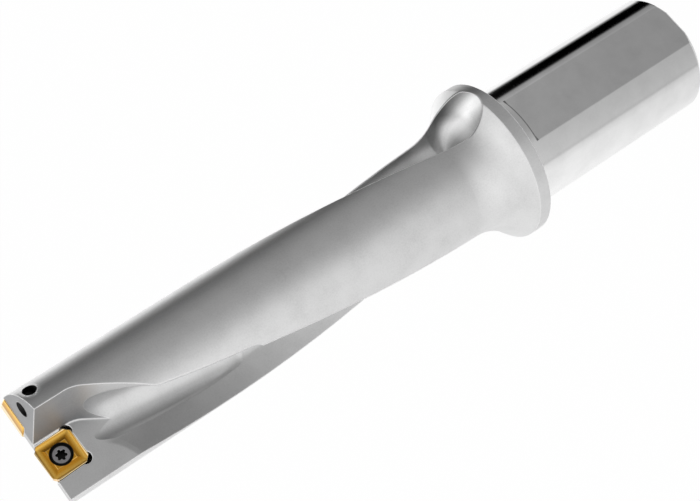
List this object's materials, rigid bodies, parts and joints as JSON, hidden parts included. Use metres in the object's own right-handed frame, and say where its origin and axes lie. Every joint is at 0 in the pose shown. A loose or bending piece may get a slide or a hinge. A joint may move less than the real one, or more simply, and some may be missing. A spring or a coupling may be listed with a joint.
{
  "type": "indexable drill",
  "caption": "Indexable drill with a flatted round shank, a collar, helical flutes and square screw-held inserts at the tip.",
  "frame": {"origin": "centre of the shank's end face, on the tool axis", "axes": "+Z along the tool axis towards the cutting point, +X square to the seat face of the centre insert and to the clamping flat"},
  "size_m": [0.042, 0.042, 0.1933],
  "materials": {
    "body_steel": "satin nickel-plated steel, shank ground bright",
    "insert_coating": "sintered carbide with a golden nitride coating",
    "screw_steel": "dark oiled hardened steel"
  },
  "bodies": {
    "root": {"drill_body": "body_steel", "centre_insert": "insert_coating", "peripheral_insert": "insert_coating", "centre_insert_screw": "screw_steel", "peripheral_insert_screw": "screw_steel"}
  },
  "joints": []
}
